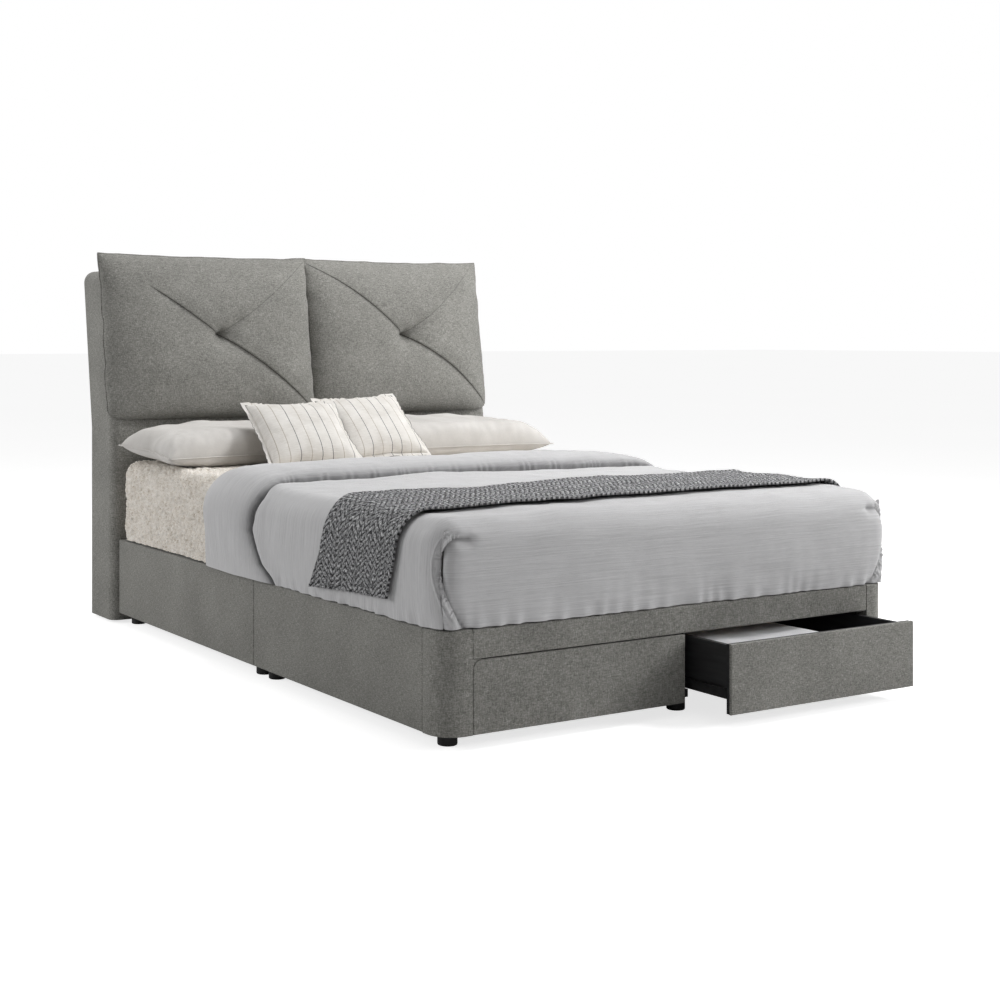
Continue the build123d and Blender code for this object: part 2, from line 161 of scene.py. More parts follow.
# ---- Materials --------------------------------------------------------------------
class Nodes:
    """Short spelling for building one material's node tree."""

    def __init__(self, name):
        self.mat = bpy.data.materials.new(name)
        self.mat.use_nodes = True
        self.tree = self.mat.node_tree
        self.tree.nodes.clear()
        self.out = self.tree.nodes.new("ShaderNodeOutputMaterial")
        self.shader = self.tree.nodes.new("ShaderNodeBsdfPrincipled")
        self.tree.links.new(self.shader.outputs[0], self.out.inputs[0])

    def link(self, a, b):
        self.tree.links.new(a, b)

    def put(self, socket, value):
        if isinstance(value, bpy.types.NodeSocket):
            self.link(value, socket)
        else:
            socket.default_value = value

    def coords(self, kind="Object", scale=(1, 1, 1)):
        node = self.tree.nodes.new("ShaderNodeTexCoord")
        mapping = self.tree.nodes.new("ShaderNodeMapping")
        mapping.inputs["Scale"].default_value = scale
        self.link(node.outputs[kind], mapping.inputs["Vector"])
        return mapping.outputs[0]

    def noise(self, vector, scale, detail=2.0, rough=0.5, distort=0.0):
        node = self.tree.nodes.new("ShaderNodeTexNoise")
        self.link(vector, node.inputs["Vector"])
        node.inputs["Scale"].default_value = scale
        node.inputs["Detail"].default_value = detail
        node.inputs["Roughness"].default_value = rough
        node.inputs["Distortion"].default_value = distort
        return node.outputs["Fac"]

    def math(self, kind, a, b=0.0, clamp=False):
        node = self.tree.nodes.new("ShaderNodeMath")
        node.operation = kind
        node.use_clamp = clamp
        self.put(node.inputs[0], a)
        self.put(node.inputs[1], b)
        return node.outputs[0]

    def ramp(self, fac, stops):
        node = self.tree.nodes.new("ShaderNodeValToRGB")
        self.link(fac, node.inputs[0])
        ramp = node.color_ramp
        while len(ramp.elements) < len(stops):
            ramp.elements.new(0.5)
        for element, (place, colour) in zip(ramp.elements, stops):
            element.position = place
            element.color = (*colour, 1)
        return node.outputs[0]

    def blend(self, a, share_a, b, share_b):
        """a and b added up in the given shares."""
        return self.math("ADD", self.math("MULTIPLY", a, share_a), self.math("MULTIPLY", b, share_b))

    def attribute(self, name):
        """The outputs that read what the mesh stores under this name."""
        node = self.tree.nodes.new("ShaderNodeAttribute")
        node.attribute_name = name
        return node.outputs

    def mix(self, fac, a, b, kind="MIX"):
        node = self.tree.nodes.new("ShaderNodeMix")
        node.data_type = "RGBA"
        node.blend_type = kind
        self.put(node.inputs[0], fac)
        for socket, value in ((node.inputs[6], a), (node.inputs[7], b)):
            if isinstance(value, tuple):
                value = (*value, 1)
            self.put(socket, value)
        return node.outputs[2]

    def bump(self, height, distance, strength=1.0, normal=None):
        node = self.tree.nodes.new("ShaderNodeBump")
        node.inputs["Distance"].default_value = distance
        node.inputs["Strength"].default_value = strength
        self.link(height, node.inputs["Height"])
        if normal is not None:
            self.link(normal, node.inputs["Normal"])
        return node.outputs[0]

    def separate(self, vector):
        node = self.tree.nodes.new("ShaderNodeSeparateXYZ")
        self.link(vector, node.inputs[0])
        return node.outputs

    def finish(self, colour=None, rough=0.9, normal=None, sheen=0.0, metallic=0.0, specular=0.5, coat=0.0):
        s = self.shader.inputs
        if colour is not None:
            self.put(s["Base Color"], (*colour, 1) if isinstance(colour, tuple) else colour)
        self.put(s["Roughness"], rough)
        if normal is not None:
            self.link(normal, s["Normal"])
        s["Sheen Weight"].default_value = sheen
        s["Sheen Roughness"].default_value = 0.5
        s["Metallic"].default_value = metallic
        s["Specular IOR Level"].default_value = specular
        s["Coat Weight"].default_value = coat
        return self.mat


def upholstery_material(name="upholstery_weave", paint_tuck_shade=False):
    """Heathered grey linen-look weave with threads both ways and pale and dark flecks."""
    n = Nodes(name)
    across = n.noise(n.coords(scale=(75, 75, 430)), 1.0, 3.0, 0.65)
    along = n.noise(n.coords(scale=(430, 430, 75)), 1.0, 3.0, 0.65)
    fleck = n.noise(n.coords(), 300, 3.0, 0.7)
    cloud = n.noise(n.coords(), 6.0, 2.0, 0.5)
    weave = n.blend(across, 0.5, along, 0.5)
    tone = n.blend(weave, 0.65, fleck, 0.35)
    tone = n.math("ADD", tone, n.math("MULTIPLY", n.math("SUBTRACT", cloud, 0.5), 0.10))
    colour = n.ramp(tone, [(0.37, (0.112, 0.110, 0.102)), (0.47, (0.202, 0.199, 0.183)),
                           (0.53, (0.266, 0.262, 0.242)), (0.63, (0.400, 0.394, 0.366))])
    normal = n.bump(weave, 0.0022, 0.6)
    normal = n.bump(fleck, 0.0014, 0.35, normal)
    if paint_tuck_shade:
        # painted shade in each sewn tuck: the mesh stores the signed distance to it in mm, and how open it
        # is, and the colour is darkened nearly to black along the line
        for layer, depth in (("tuck_main_shade", 0.92), ("tuck_cross_shade", 0.45)):
            away, shown, _ = n.separate(n.attribute(layer)["Vector"])
            line = n.math("SUBTRACT", 1.0, n.math("DIVIDE", n.math("ABSOLUTE", away), 2.0), clamp=True)
            line = n.math("MULTIPLY", n.math("MULTIPLY", line, shown), depth, clamp=True)
            colour = n.mix(line, colour, (0.018, 0.018, 0.017))
    return n.finish(colour, 0.92, normal, sheen=0.12, specular=0.2)


def duvet_material():
    """Pale grey cotton with fine slubs that run across the bed."""
    n = Nodes("duvet_cotton")
    slub = n.noise(n.coords("UV", (5, 290, 1)), 1.0, 4.0, 0.62)
    fine = n.noise(n.coords("UV", (40, 1500, 1)), 1.0, 2.0, 0.6)
    warp = n.noise(n.coords("UV", (1500, 60, 1)), 1.0, 2.0, 0.5)
    tone = n.blend(slub, 0.6, fine, 0.4)
    colour = n.ramp(tone, [(0.32, (0.43, 0.427, 0.434)), (0.50, (0.54, 0.537, 0.543)),
                           (0.68, (0.64, 0.637, 0.642))])
    weave = n.math("ADD", fine, warp)
    normal = n.bump(weave, 0.0006, 0.35)
    normal = n.bump(slub, 0.0008, 0.25, normal)
    # painted shade: the colour is darkened down in the fold and beside the gathered seams, where the mesh
    # marks it
    dark = n.math("MULTIPLY", n.attribute("crease")["Fac"], 0.85, clamp=True)
    colour = n.mix(dark, colour, (0.10, 0.10, 0.102))
    return n.finish(colour, 0.85, normal, sheen=0.15, specular=0.25)


def knit_material():
    """Chunky marled rib knit in charcoal yarn; U runs across the ribs and V along them."""
    n = Nodes("charcoal_knit")
    u, v, _ = n.separate(n.coords("UV", (40, 58, 1)))
    arm = n.math("ABSOLUTE", n.math("SUBTRACT", n.math("FRACT", u), 0.5))
    slant = n.math("ADD", v, n.math("MULTIPLY", arm, 1.6))
    fv = n.math("FRACT", slant)
    loop = n.math("SUBTRACT", 1.0, n.math("MULTIPLY", n.math("ABSOLUTE", n.math("SUBTRACT", fv, 0.5)), 2.0))
    gap = n.math("MULTIPLY", n.math("SUBTRACT", 0.5, n.math("ABSOLUTE", n.math("SUBTRACT", arm, 0.25))), 2.0)
    height = n.math("MULTIPLY", n.math("POWER", loop, 0.6), n.math("POWER", n.math("MAXIMUM", gap, 0.0), 0.8))
    marl = n.noise(n.coords("UV", (260, 200, 1)), 1.0, 3.0, 0.75)
    patch = n.noise(n.coords("UV", (70, 110, 1)), 1.0, 2.0, 0.6)
    tone = n.blend(marl, 0.7, patch, 0.3)
    yarn = n.ramp(tone, [(0.42, (0.055, 0.055, 0.058)), (0.50, (0.27, 0.272, 0.28)),
                         (0.58, (0.72, 0.72, 0.73))])
    # painted shade: the yarn colour is darkened towards black in the low gaps between the loops
    gap_shade = n.ramp(height, [(0.16, (0.03, 0.03, 0.03)), (0.50, (1, 1, 1))])
    colour = n.mix(1.0, yarn, gap_shade, "MULTIPLY")
    normal = n.bump(height, 0.009, 0.9)
    normal = n.bump(marl, 0.0016, 0.5, normal)
    return n.finish(colour, 0.95, normal, sheen=0.2, specular=0.12)


def linen_material(name, dark, mid, light):
    """Plain washed cotton pillow cloth."""
    n = Nodes(name)
    cloud = n.noise(n.coords(), 9.0, 3.0, 0.55)
    thread = n.noise(n.coords(scale=(900, 900, 900)), 1.0, 2.0, 0.6)
    tone = n.blend(cloud, 0.5, thread, 0.5)
    colour = n.ramp(tone, [(0.32, dark), (0.5, mid), (0.68, light)])
    normal = n.bump(thread, 0.0006, 0.3)
    normal = n.bump(n.noise(n.coords(), 38, 3.0, 0.6, 0.6), 0.0016, 0.3, normal)
    return n.finish(colour, 0.88, normal, sheen=0.12, specular=0.25)


def stripe_material():
    """Off-white seersucker with thin pinstripes along V, charcoal and sand in turn."""
    n = Nodes("striped_seersucker")
    u, _, _ = n.separate(n.coords("UV", (1, 1, 1)))
    wob = n.math("MULTIPLY", n.math("SUBTRACT", n.noise(n.coords("UV", (8, 8, 1)), 1.0, 2.0), 0.5), 0.003)
    turn = n.math("MULTIPLY", n.math("ADD", u, wob), 1 / 0.043)
    line = n.math("LESS_THAN", n.math("ABSOLUTE", n.math("SUBTRACT", n.math("FRACT", turn), 0.5)), 0.030)
    dash = n.noise(n.coords("UV", (60, 420, 1)), 1.0, 2.0, 0.6)
    line = n.math("MULTIPLY", line, n.math("ADD", 0.62, n.math("MULTIPLY", dash, 0.5)), clamp=True)
    which = n.math("GREATER_THAN", n.math("FRACT", n.math("MULTIPLY", n.math("FLOOR", turn), 0.3334)), 0.5)
    ink = n.mix(which, (0.035, 0.037, 0.043), (0.36, 0.31, 0.25))
    thread = n.noise(n.coords("UV", (1400, 1400, 1)), 1.0, 2.0, 0.6)
    cloud = n.noise(n.coords("UV", (12, 12, 1)), 1.0, 3.0, 0.6)
    ripple = n.noise(n.coords("UV", (22, 420, 1)), 1.0, 2.0, 0.5)
    base = n.blend(ripple, 0.4, cloud, 0.6)
    base = n.ramp(base, [(0.3, (0.56, 0.53, 0.49)), (0.5, (0.69, 0.665, 0.63)), (0.7, (0.78, 0.76, 0.73))])
    colour = n.mix(line, base, ink)
    normal = n.bump(ripple, 0.0022, 0.6)
    normal = n.bump(thread, 0.0006, 0.3, normal)
    return n.finish(colour, 0.88, normal, sheen=0.1, specular=0.2)


def fleece_material():
    """Cream curly fleece, darker and browner where the curl bump is low."""
    n = Nodes("cream_fleece")
    curl = n.noise(n.coords(), 170, 3.0, 0.6, 1.2)
    big = n.noise(n.coords(), 22, 2.0, 0.5)
    tone = n.blend(curl, 0.85, big, 0.15)
    colour = n.ramp(tone, [(0.34, (0.58, 0.50, 0.40)), (0.5, (0.90, 0.84, 0.76)), (0.62, (0.97, 0.93, 0.87))])
    normal = n.bump(curl, 0.006, 0.7)
    return n.finish(colour, 0.95, normal, sheen=0.3, specular=0.15)


def laminate_material():
    """Black paper-foil board with a faint pressed grain."""
    n = Nodes("black_laminate")
    grain = n.noise(n.coords(scale=(60, 6, 60)), 1.0, 4.0, 0.6, 0.4)
    speck = n.noise(n.coords(), 420, 2.0, 0.6)
    colour = n.ramp(grain, [(0.3, (0.012, 0.012, 0.013)), (0.7, (0.030, 0.030, 0.032))])
    rough = n.math("ADD", 0.38, n.math("MULTIPLY", speck, 0.18))
    return n.finish(colour, rough, n.bump(grain, 0.0004, 0.3), specular=0.4)


def wood_material(name, dark, light, scale):
    """Sawn softwood or ply with long grain, pores and a few darker rings."""
    n = Nodes(name)
    grain = n.noise(n.coords(scale=scale), 1.0, 5.0, 0.65, 0.8)
    pore = n.noise(n.coords(scale=tuple(6 * s for s in scale)), 1.0, 2.0, 0.6)
    tone = n.blend(grain, 0.7, pore, 0.3)
    colour = n.ramp(tone, [(0.34, dark), (0.62, light)])
    return n.finish(colour, 0.7, n.bump(tone, 0.0007, 0.4), specular=0.3)


def plastic_material(name, low, high, rough):
    """Moulded plastic with fine speckle and uneven gloss."""
    n = Nodes(name)
    speck = n.noise(n.coords(), 600, 2.0, 0.6)
    wear = n.noise(n.coords(), 30, 4.0, 0.6)
    colour = n.ramp(wear, [(0.35, low), (0.65, high)])
    level = n.math("ADD", rough, n.math("MULTIPLY", wear, 0.2))
    return n.finish(colour, level, n.bump(speck, 0.0003, 0.3), specular=0.45)


def steel_material(name, low, high, rough, metallic):
    """Plated or painted steel, faintly brushed and scuffed."""
    n = Nodes(name)
    brushed = n.noise(n.coords(scale=(700, 12, 700)), 1.0, 3.0, 0.6)
    scuff = n.noise(n.coords(), 45, 4.0, 0.65)
    colour = n.ramp(scuff, [(0.35, low), (0.68, high)])
    level = n.math("ADD", rough, n.math("MULTIPLY", brushed, 0.25))
    return n.finish(colour, level, n.bump(brushed, 0.0002, 0.25), metallic=metallic)


MATERIALS = {
    "upholstery": upholstery_material(),
    # the weave again, with painted shade along the cushion tucks
    "tuck_shaded_upholstery": upholstery_material("upholstery_weave_tuck_shade", True),
    "pine": wood_material("pine_grain", (0.34, 0.21, 0.10), (0.62, 0.46, 0.28), (5, 90, 90)),
    "plywood": wood_material("plywood_grain", (0.36, 0.24, 0.13), (0.58, 0.43, 0.27), (60, 60, 7)),
    "black_laminate": laminate_material(),
    "black_plastic": plastic_material("black_foot_plastic", (0.006, 0.006, 0.006),
                                      (0.018, 0.018, 0.018), 0.35),
    "runner_steel": steel_material("black_runner_steel", (0.012, 0.012, 0.013),
                                   (0.03, 0.03, 0.032), 0.3, 0.0),
    "nylon": plastic_material("white_nylon", (0.62, 0.61, 0.58), (0.78, 0.77, 0.74), 0.35),
    "zinc_steel": steel_material("zinc_plate", (0.42, 0.41, 0.39), (0.68, 0.67, 0.64), 0.25, 1.0),
    "mattress_ticking": linen_material("mattress_ticking", (0.62, 0.60, 0.56),
                                       (0.72, 0.70, 0.66), (0.80, 0.78, 0.74)),
    "cream_fleece": fleece_material(),
    "grey_duvet": duvet_material(),
    "charcoal_knit": knit_material(),
    "pale_pillow": linen_material("pale_pillow_cotton", (0.50, 0.48, 0.455),
                                  (0.585, 0.565, 0.54), (0.66, 0.64, 0.615)),
    "striped_cotton": stripe_material(),
    "white_cotton": linen_material("white_cotton", (0.64, 0.64, 0.655),
                                   (0.75, 0.75, 0.765), (0.83, 0.83, 0.845)),
}


def dress(obj, slot, body="bed_frame", replaces=()):
    """Give a piece its material, the body it moves with, and the CAD nodes it stands in for."""
    obj.data.materials.clear()
    obj.data.materials.append(MATERIALS[slot])
    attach(obj, body)
    if replaces:
        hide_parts(*replaces)
    return obj


for row in frame["record"]["subparts"]:
    node = frame["nodes"][row["node"]]
    for place in node.material_slots:
        place.material = MATERIALS[row["material_slot"]]
    if not node.material_slots:
        node.data.materials.append(MATERIALS[row["material_slot"]])


# ---- Headboard cushions -------------------------------------------------------------
HEAD = 1.075                # headboard's front face, below the rake
KINK = 0.705                # height at which the headboard starts to lean back
RAKE = 0.088 / 0.585        # how far it leans back, for its height above the kink


def raked_point(x, up, out):
    """Point on the raked headboard front: up is metres above the kink, out is towards the foot."""
    c = 1 / math.hypot(1, RAKE)
    s = RAKE * c
    return np.stack([x, HEAD + up * s - out * c, KINK + up * c - out * s], axis=-1)


def tufted_cushion(side, seed):
    """Knife-edged back cushion, pinched at one button, with a long tuck across one diagonal."""
    cols, rows = 224, 172
    left, right = (-0.848, 0.004) if side < 0 else (-0.008, 0.824)
    half_w, half_h, middle = (right - left) / 2, 0.307, (right + left) / 2
    a = np.linspace(-1, 1, cols)
    b = np.linspace(-1, 1, rows)
    a, b = np.sin(a * math.pi / 2) * 0.5 + a * 0.5, np.sin(b * math.pi / 2) * 0.5 + b * 0.5
    A, B = np.meshgrid(a, b)
    A, B = A.ravel(), B.ravel()
    low_side = np.where(B < 0, 1.0, 0.0)
    edge = (1 - np.abs(A) ** 3.2) * (1 - np.abs(B) ** (3.0 + 1.6 * low_side))
    blunt = 0.014 * np.abs(A) ** 12 * np.abs(B) ** 12 * low_side * (side * A > 0)
    X = A * half_w * (1 - 0.014 * (1 - B ** 2)) - np.sign(A) * blunt
    Y = B * half_h * (1 - 0.026 * (1 - A ** 2)) - np.sign(B) * blunt
    zero = np.zeros_like(X)
    edge_x, edge_y = half_w * (1 - np.abs(A)), half_h * (1 - np.abs(B))
    near_edge = np.exp(-np.minimum(edge_x, edge_y) / 0.030)
    wander = fbm(A * 3 + B, B * 2, zero, 2.2, 2, seed + 9) * near_edge
    X, Y = X + wander * 0.004, Y + fbm(A, A * 2 - B, zero, 1.8, 2, seed + 10) * near_edge * 0.003
    full = np.clip(edge, 0, 1) ** 0.56
    front = 0.104 * full
    knot_x, knot_y = (0.018 if side < 0 else 0.004), 0.012
    dx, dy = X - knot_x, Y - knot_y
    r = np.hypot(dx, dy)
    pinch = 0.050 * np.exp(-r / 0.020) + 0.018 * np.exp(-(r / 0.10) ** 1.3)
    # main tuck: upper left corner, through the button, to the lower right corner, bowed upwards on both sides
    bow_left, bow_right = (0.010, 0.022) if side < 0 else (0.028, 0.034)
    left_rise = (half_h - 0.01 - knot_y) / (half_w + knot_x)
    right_fall = (half_h - 0.01 + knot_y) / (half_w - knot_x)
    t_left, t_right = np.clip(-dx / (half_w + knot_x), 0, 1), np.clip(dx / (half_w - knot_x), 0, 1)
    line = np.where(dx < 0, -dx * left_rise + bow_left * np.sin(math.pi * t_left),
                    -dx * right_fall + bow_right * np.sin(math.pi * t_right))
    d = (dy - line) * math.cos(math.atan(0.73))
    reach = smoothstep(0.66, 0.52, t_left) if side < 0 else smoothstep(1.0, 0.93, t_left)
    fade = np.where(dx < 0, reach, smoothstep(1.0, 0.95, t_right))
    strength = np.where(dx < 0, 0.75, 1.0)
    under = np.where(d < 0.0015, np.exp(np.minimum(d, 0) / 0.030), 0.0) * (1 - smoothstep(-0.0035, 0.0035, d))
    tuck = -fade * strength * (0.0105 * under + 0.0030 * np.exp(-np.abs(d) / 0.025)
                               - 0.0030 * np.exp(-((d - 0.045) / 0.030) ** 2))
    # other diagonal: a soft crease from the upper right corner that dies out at the lower left
    line2 = dx * (half_h / half_w)
    d2 = (dy - line2) * math.cos(math.atan(0.73))
    t2 = np.clip(dx / half_w, -1, 1)
    fade2 = np.where(dx > 0, smoothstep(0.98, 0.80, t2), smoothstep(-0.62, -0.05, t2) * 0.35)
    hollow = 0.016 * np.exp(-((dx - 0.045) / 0.050) ** 2 - (d2 / 0.026) ** 2)
    crease = -fade2 * (0.0022 * np.exp(-np.abs(d2) / 0.0035) + 0.0045 * np.exp(-np.abs(d2) / 0.030)) - hollow
    soft = fbm(X, Y, zero, 4.0, 3, seed) * 0.0045 + fbm(X, Y, zero, 24.0, 2, seed + 3) * 0.0009
    phase = fbm(X, Y, zero, 9, 2, seed + 7)
    pucker = near_edge * 0.0011 * np.sin(120 * (X * (edge_y < edge_x) + Y * (edge_x <= edge_y)) + 9 * phase)
    corner = np.hypot(A + 1, (B + 1) * 0.75)
    corner_fold = -0.010 * np.exp(-np.abs((A + 1) - (B + 1) * 0.75) / 0.03) * np.exp(-corner / 0.14)
    out = front + (tuck + crease - pinch + soft + pucker + corner_fold) * full
    rest = 0.008 + 0.020 * smoothstep(0.25, 1.0, -side * A)
    lift = half_h + 0.040 - 0.010 * (B < 0) * B ** 2 * (1 - A ** 2)
    front_pts = raked_point(X + middle, Y + lift, out + rest)
    back_pts = raked_point(X + middle, Y + lift, rest - 0.024 * full * np.clip(rest / 0.028, 0.2, 1))
    faces = grid_faces(rows, cols)
    flipped = [tuple(i + len(X) for i in reversed(f)) for f in faces]
    name = "left" if side < 0 else "right"
    obj = link_mesh(f"headboard_cushion_soft_{name}", np.concatenate([front_pts, back_pts]), faces + flipped)
    # how strongly each tuck's painted shade line shows: it fades out at the rim and at the tuck's ends, is
    # weaker on the cross tuck's lower left arm, and leaves the button clear
    near_knot = smoothstep(0.004, 0.018, r)
    rim_fade = smoothstep(0.0, 0.05, full)
    open_cross = np.where(dx > 0, smoothstep(0.98, 0.86, t2), smoothstep(-0.60, -0.10, t2) * 0.5)
    tuck_shades = (("tuck_main_shade", d, fade * rim_fade), ("tuck_cross_shade", d2, open_cross * rim_fade * near_knot))
    for layer, away, shown in tuck_shades:
        values = np.zeros((2 * len(X), 3))
        values[:, 0] = 99.0
        values[:len(X), 0] = away * 1000
        values[:len(X), 1] = shown
        obj.data.attributes.new(layer, "FLOAT_VECTOR", "POINT").data.foreach_set("vector", values.ravel())
    merge(obj, 0.0004)
    rim = [(i, 0) for i in range(cols)] + [(cols - 1, j) for j in range(1, rows)]
    rim += [(i, rows - 1) for i in range(cols - 2, -1, -1)] + [(0, j) for j in range(rows - 2, 0, -1)]
    welt = tube(f"headboard_cushion_welt_{name}", [front_pts[j * cols + i] for i, j in rim], 0.0028, 8, True)
    dress(obj, "upholstery", replaces=[f"headboard_cushion_{name}"])
    # the front takes the weave with painted shade along its tucks
    obj.data.materials[0] = MATERIALS["tuck_shaded_upholstery"]
    dress(welt, "upholstery")

    # the covered button sits at the bottom of the pinch
    k = int(np.argmin(r))
    seat = raked_point(X[k] + middle, Y[k] + lift[k], out[k] + rest[k] + 0.002)
    verts, steps = [], 7
    for i in range(steps):
        a1 = i / (steps - 1) * math.pi / 2
        for j in range(20):
            a2 = 2 * math.pi * j / 20
            verts.append((seat[0] + 0.0085 * math.sin(a1) * math.cos(a2), seat[1] - 0.004 * math.cos(a1),
                          seat[2] + 0.0085 * math.sin(a1) * math.sin(a2)))
    button = link_mesh(f"cushion_button_soft_{name}", verts, grid_faces(steps, 20, close_cols=True))
    merge(button, 0.0002)
    dress(button, "upholstery", replaces=[f"cushion_button_{name}"])
    return obj


tufted_cushion(-1, 2)
tufted_cushion(1, 5)


# ---- Duvet --------------------------------------------------------------------------
DUVET_HALF = 0.806
DUVET_FRONT = FOOT - 0.002
HEM = RAIL_TOP + 0.003
ROUND = 0.078


# Corner seam as points (c, z): c is how far round the corner, + along the side and - along the foot.
SEAM = [(-0.078, 0.298), (-0.056, 0.322), (-0.026, 0.362), (0.000, 0.408), (0.014, 0.450),
        (0.014, 0.490), (-0.006, 0.522), (-0.036, 0.540), (-0.080, 0.537)]


def seam_distance(c, z):
    """Signed distance to the corner seam: + on the side panel's edge, - on the foot face."""
    best = np.full(len(c), 9.0)
    sign = np.ones(len(c))
    for (c0, z0), (c1, z1) in zip(SEAM[:-1], SEAM[1:]):
        ec, ez = c1 - c0, z1 - z0
        t = np.clip(((c - c0) * ec + (z - z0) * ez) / (ec * ec + ez * ez), 0, 1)
        d = np.hypot(c - c0 - t * ec, z - z0 - t * ez)
        side = np.sign((c - c0) * ez - (z - z0) * ec)
        near = d < best
        best = np.where(near, d, best)
        sign = np.where(near, side, sign)
    return best * sign


def open_box(xs, ys, zs, y_end, flip_end):
    """Top, one end and two sides of a box as grids: points, faces, UVs and each point's wall.

    The walls are numbered 0 for the top, 1 for the end and 2 for the sides.
    """
    hx, zt = xs[-1], zs[-1]
    X, Y = np.meshgrid(xs, ys)
    walls = [(0, X, Y, np.full_like(X, zt), X, Y, False)]
    X, Z = np.meshgrid(xs, zs)
    walls.append((1, X, np.full_like(X, y_end), Z, X, y_end - (zt - Z), flip_end))
    for sign in (-1, 1):
        Y, Z = np.meshgrid(ys, zs)
        walls.append((2, np.full_like(Y, sign * hx), Y, Z, sign * (hx + zt - Z), Y, sign < 0))
    points, faces, uv, kinds, start = [], [], [], [], 0
    for kind, X, Y, Z, U, V, flip in walls:
        quads = grid_faces(*X.shape, start=start)
        faces += [tuple(reversed(q)) for q in quads] if flip else quads
        points.append(np.stack([X, Y, Z], -1).reshape(-1, 3))
        uv.append(np.stack([U, V], -1).reshape(-1, 2))
        kinds.append(np.full(X.size, kind))
        start += X.size
    return np.concatenate(points), faces, np.concatenate(uv), np.concatenate(kinds)


def rounded(P, r, low, high):
    """The points drawn in to edges of radius r round the box low to high, and their normals."""
    q = np.clip(P, low, high)
    d = P - q
    length = np.linalg.norm(d, axis=1)
    length[length == 0] = 1
    normal = d / length[:, None]
    return q + normal * r, normal


# Front edge of the turned-back band: Y behind the foot against the way up from the hem.
FOLD_D = [0.0, 0.05, 0.15, 0.20, 0.26, 0.36, 0.9]
FOLD_Y = [0.905, 0.985, 1.050, 1.035, 1.010, 1.045, 1.085]


def shape_duvet(P, kind, zt):
    """Soft fill, settled corners, puckers over the hem and gathers beside the corner seams; also gives the
    painted shade for the fold and the seam trenches.
    """
    x, y, z = P[:, 0].copy(), P[:, 1].copy(), P[:, 2].copy()
    out = P.copy()
    drop = smoothstep(zt - 0.02, HEM, z)
    along = np.where(kind == 1, x, y)
    bulge = np.sin(np.clip((z - HEM) / (zt - HEM), 0, 1) * math.pi)
    wave = fbm(x, y, z, 2.3, 3, 11) * 0.008 + fbm(x, y, z, 7.5, 3, 12) * 0.0035
    side = np.where(np.abs(x) > 0.72, np.sign(x), 0.0)
    face = np.where(y < DUVET_FRONT + 0.09, 1.0, 0.0)
    hem = np.exp(-(z - HEM) / 0.028) * smoothstep(zt, HEM, z)
    phase = fbm(along, z * 0.2, np.zeros_like(z), 5.0, 2, 21) * 9
    pucker = hem * (np.sin(along * 2 * math.pi / 0.062 + phase) * 0.0045
                    + fbm(along, z, z * 0, 30, 2, 22) * 0.005)
    out[:, 0] += side * (0.010 * bulge * drop ** 0.3 + wave * drop ** 0.5 + pucker)
    out[:, 1] -= face * (0.006 * bulge + (wave + pucker) * drop ** 0.5) * (kind == 1)
    # gathered corner seams: the side panel's puckered edge stands over the foot face
    cx, cy = DUVET_HALF - np.abs(x), y - DUVET_FRONT
    near = (cx < 0.16) & (cy < 0.16)
    d = seam_distance(cy - cx, z)
    ang = np.arctan2(np.maximum(cx, 0.002), np.maximum(cy, 0.002))
    nx, ny = np.sign(x) * np.cos(ang * 0.999), -np.sin(ang)
    run = z - (cy - cx) * (z > 0.52)
    wrinkle = np.sin(run * 2 * math.pi / 0.0155 + fbm(x, y, z, 26, 2, 23) * 3.5)
    edge = np.where(d > 0, np.exp(-d / 0.030), 0)
    trench = -0.013 * np.exp(-((d + 0.007) / 0.012) ** 2) - 0.003 * np.exp(-((d + 0.02) / 0.02) ** 2)
    push = np.where(near, trench + edge * wrinkle * 0.0010, 0)
    out[:, 0] += nx * push
    out[:, 1] += ny * push
    d_path = (z - HEM) + (DUVET_HALF - np.abs(x))
    line_y = FOOT + np.interp(d_path, FOLD_D, FOLD_Y)
    crease = -0.024 * np.exp(-((line_y - y) / 0.012) ** 2) * (y <= line_y) - 0.024 * (y > line_y)
    crease += 0.007 * np.exp(-((line_y - 0.042 - y) / 0.026) ** 2)
    gather = np.sin(d_path * 190 + 12 * fbm(x, y, z, 9, 2, 41))
    crease += 0.0010 * np.exp(-np.maximum(line_y - y, 0) / 0.03) * gather
    # painted shade for the material's crease mark: full under the turned-back band, fading within about 9 mm
    # in front of its edge, and in the trench beside each corner seam
    dark = np.where(y > line_y, 1.0, np.exp(-((line_y - y) / 0.009) ** 2))
    dark = np.maximum(dark, 0.8 * near * np.exp(-((d + 0.006) / 0.006) ** 2))
    upper = smoothstep(HEM + 0.10, zt - 0.02, z)
    out[:, 0] += side * crease * (1 - upper)
    out[:, 2] += crease * upper
    out[:, 2] += (1 - drop) * (wave + 0.010 * np.cos(np.clip(x / 0.8, -1, 1) * math.pi / 2)
                               * smoothstep(DUVET_FRONT, DUVET_FRONT + 0.5, y) - 0.004)
    return out, dark


def duvet_shell(cell=0.0100):
    """Rounded shell over the mattress, open below and at the head end."""
    y_end = FOLD_END - 0.06
    nx, ny, nz = int(2 * DUVET_HALF / cell), int((y_end - DUVET_FRONT) / cell), int((TOP - HEM) / cell)
    xs = np.linspace(-DUVET_HALF, DUVET_HALF, nx + 1)
    ys, zs = np.linspace(DUVET_FRONT, y_end, ny + 1), np.linspace(HEM, TOP, nz + 1)
    P, faces, uv, kind = open_box(xs, ys, zs, DUVET_FRONT, False)
    edge = DUVET_HALF - ROUND
    P, _ = rounded(P, ROUND, (-edge, DUVET_FRONT + ROUND, -np.inf), (edge, np.inf, TOP - ROUND))
    return P, faces, uv, kind


P, faces, uv, kind = duvet_shell()
P, dark = shape_duvet(P, kind, TOP)
duvet = link_mesh("duvet_body", P, faces, uv)
